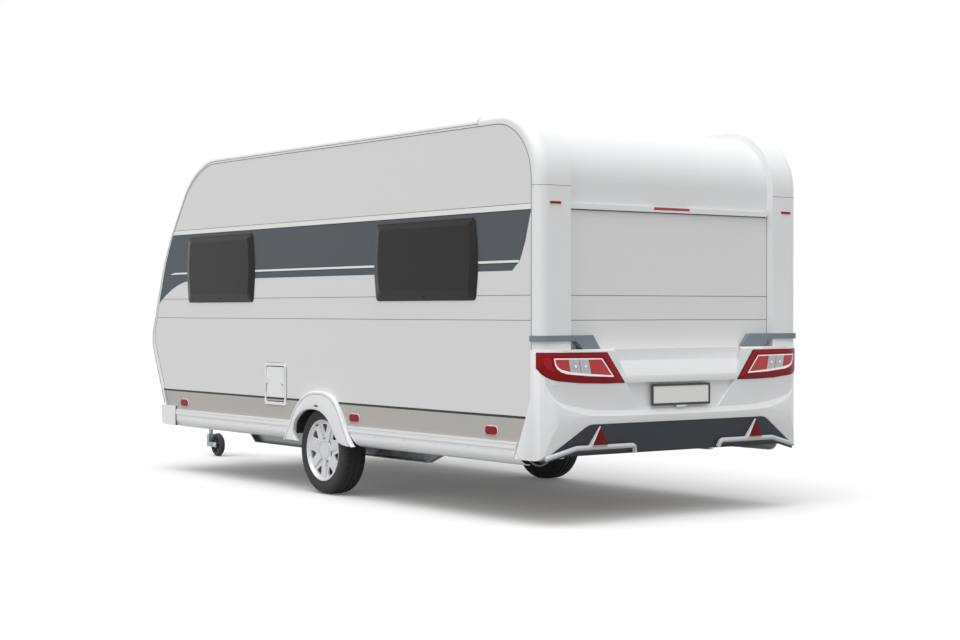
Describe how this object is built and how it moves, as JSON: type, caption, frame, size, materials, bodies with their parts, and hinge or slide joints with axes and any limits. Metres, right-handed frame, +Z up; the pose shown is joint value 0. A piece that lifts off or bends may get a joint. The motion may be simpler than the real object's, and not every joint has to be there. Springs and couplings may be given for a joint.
{
  "type": "travel caravan",
  "caption": "White touring caravan on a single axle with tinted side windows, an entrance door, moulded rear bumper, drawbar with coupling and a jockey wheel.",
  "frame": {"origin": "on the ground under the middle of the caravan, half way between its rearmost lamp and the tip of its coupling", "axes": "+X forward to the coupling, +Y to the left side, +Z up"},
  "size_m": [6.812, 2.372, 2.647],
  "materials": {
    "white_sheet": "white hammered sheet",
    "white_moulding": "white moulded plastic",
    "slate_plastic": "slate grey moulded plastic",
    "silver_trim": "silver painted trim",
    "black_plastic": "black moulded plastic",
    "dark_glazing": "dark tinted acrylic",
    "blind_fabric": "pleated blind",
    "clear_dome": "milky acrylic",
    "floor_board": "sealed plywood",
    "zinc_steel": "hot dip galvanised",
    "black_iron": "black coated",
    "cast_drum": "dark cast",
    "alloy_silver": "silver lacquer",
    "tyre": "black rubber",
    "black_rubber": "black rubber",
    "red_lens": "red moulded lens",
    "plate_white": "plain white plate"
  },
  "bodies": {
    "caravan": {"axle_beam": "zinc_steel", "bumper_bars": "silver_trim", "bumper_insert": "slate_plastic", "chassis_rails": "zinc_steel", "coupling_head": "black_iron", "cross_members": "zinc_steel", "drawbar_arms": "zinc_steel", "edge_mouldings": "white_moulding", "floor_panel": "floor_board", "front_corners": "white_moulding", "front_wall": "white_sheet", "hand_levers": "black_plastic", "hatch_frame": "white_moulding", "jockey_sleeve": "zinc_steel", "locker_linings": "floor_board", "marker_lamps": "red_lens", "number_plate": "plate_white", "overrun_unit": "black_iron", "rear_bumper": "white_moulding", "rear_caps": "white_moulding", "rear_lamps": "red_lens", "rear_pillars": "white_moulding", "rear_reflectors": "red_lens", "rear_strips": "slate_plastic", "rear_trim": "white_moulding", "rear_wall": "white_sheet", "roof_hatches": "clear_dome", "roof_panel": "white_sheet", "side_skirts": "white_moulding", "side_wall_left": "white_sheet", "side_wall_right": "white_sheet", "steady_brackets": "zinc_steel", "wheel_spats": "white_moulding", "wheel_tubs": "black_plastic", "window_blinds": "blind_fabric", "window_panes": "dark_glazing"},
    "wheel_left": {"brake_drum_left": "cast_drum", "tyre_left": "tyre", "wheel_rim_left": "alloy_silver"},
    "wheel_right": {"brake_drum_right": "cast_drum", "tyre_right": "tyre", "wheel_rim_right": "alloy_silver"},
    "jockey_tube": {"jockey_tube": "zinc_steel"},
    "jockey_fork": {"jockey_fork": "zinc_steel"},
    "jockey_wheel": {"jockey_wheel": "black_rubber"},
    "entrance_door": {"door_handle": "black_plastic", "door_window": "dark_glazing", "entrance_door": "white_sheet"},
    "service_flap": {"service_flap": "white_moulding"},
    "locker_lid": {"locker_lid": "white_sheet"},
    "steady_leg_front_left": {"steady_leg_front_left": "zinc_steel"},
    "steady_leg_front_right": {"steady_leg_front_right": "zinc_steel"},
    "steady_leg_rear_left": {"steady_leg_rear_left": "zinc_steel"},
    "steady_leg_rear_right": {"steady_leg_rear_right": "zinc_steel"}
  },
  "joints": [
    {"name": "wheel_left_spin", "type": "hinge", "parent": "caravan", "child": "wheel_left", "pos_m": [-0.684, 1.025, 0.328], "axis": [0, 1, 0], "continuous": true},
    {"name": "wheel_right_spin", "type": "hinge", "parent": "caravan", "child": "wheel_right", "pos_m": [-0.684, -1.025, 0.328], "axis": [0, 1, 0], "continuous": true},
    {"name": "jockey_slide", "type": "slide", "parent": "caravan", "child": "jockey_tube", "axis": [0, 0, 1], "range_m": [-0.05, 0.08]},
    {"name": "jockey_swivel", "type": "hinge", "parent": "jockey_tube", "child": "jockey_fork", "pos_m": [3.031, 0.092, 0.2], "axis": [0, 0, 1], "continuous": true},
    {"name": "jockey_wheel_spin", "type": "hinge", "parent": "jockey_fork", "child": "jockey_wheel", "pos_m": [2.891, 0.092, 0.108], "axis": [0, 1, 0], "continuous": true},
    {"name": "entrance_door_swing", "type": "hinge", "parent": "caravan", "child": "entrance_door", "pos_m": [0.7125, -1.159, 1.41], "axis": [0, 0, 1], "range_deg": [0, 165]},
    {"name": "service_flap_swing", "type": "hinge", "parent": "caravan", "child": "service_flap", "pos_m": [0.0935, 1.164, 0.8], "axis": [0, 0, -1], "range_deg": [0, 110]},
    {"name": "locker_lid_swing", "type": "hinge", "parent": "caravan", "child": "locker_lid", "pos_m": [2.0906, 0, 1.134], "axis": [0, -1, 0], "range_deg": [0, 80]},
    {"name": "steady_front_left_swing", "type": "hinge", "parent": "caravan", "child": "steady_leg_front_left", "pos_m": [0.896, 0.8, 0.402], "axis": [0, -1, 0], "range_deg": [0, 66]},
    {"name": "steady_front_right_swing", "type": "hinge", "parent": "caravan", "child": "steady_leg_front_right", "pos_m": [0.896, -0.8, 0.402], "axis": [0, -1, 0], "range_deg": [0, 66]},
    {"name": "steady_rear_left_swing", "type": "hinge", "parent": "caravan", "child": "steady_leg_rear_left", "pos_m": [-2.384, 0.8, 0.402], "axis": [0, 1, 0], "range_deg": [0, 66]},
    {"name": "steady_rear_right_swing", "type": "hinge", "parent": "caravan", "child": "steady_leg_rear_right", "pos_m": [-2.384, -0.8, 0.402], "axis": [0, 1, 0], "range_deg": [0, 66]}
  ]
}
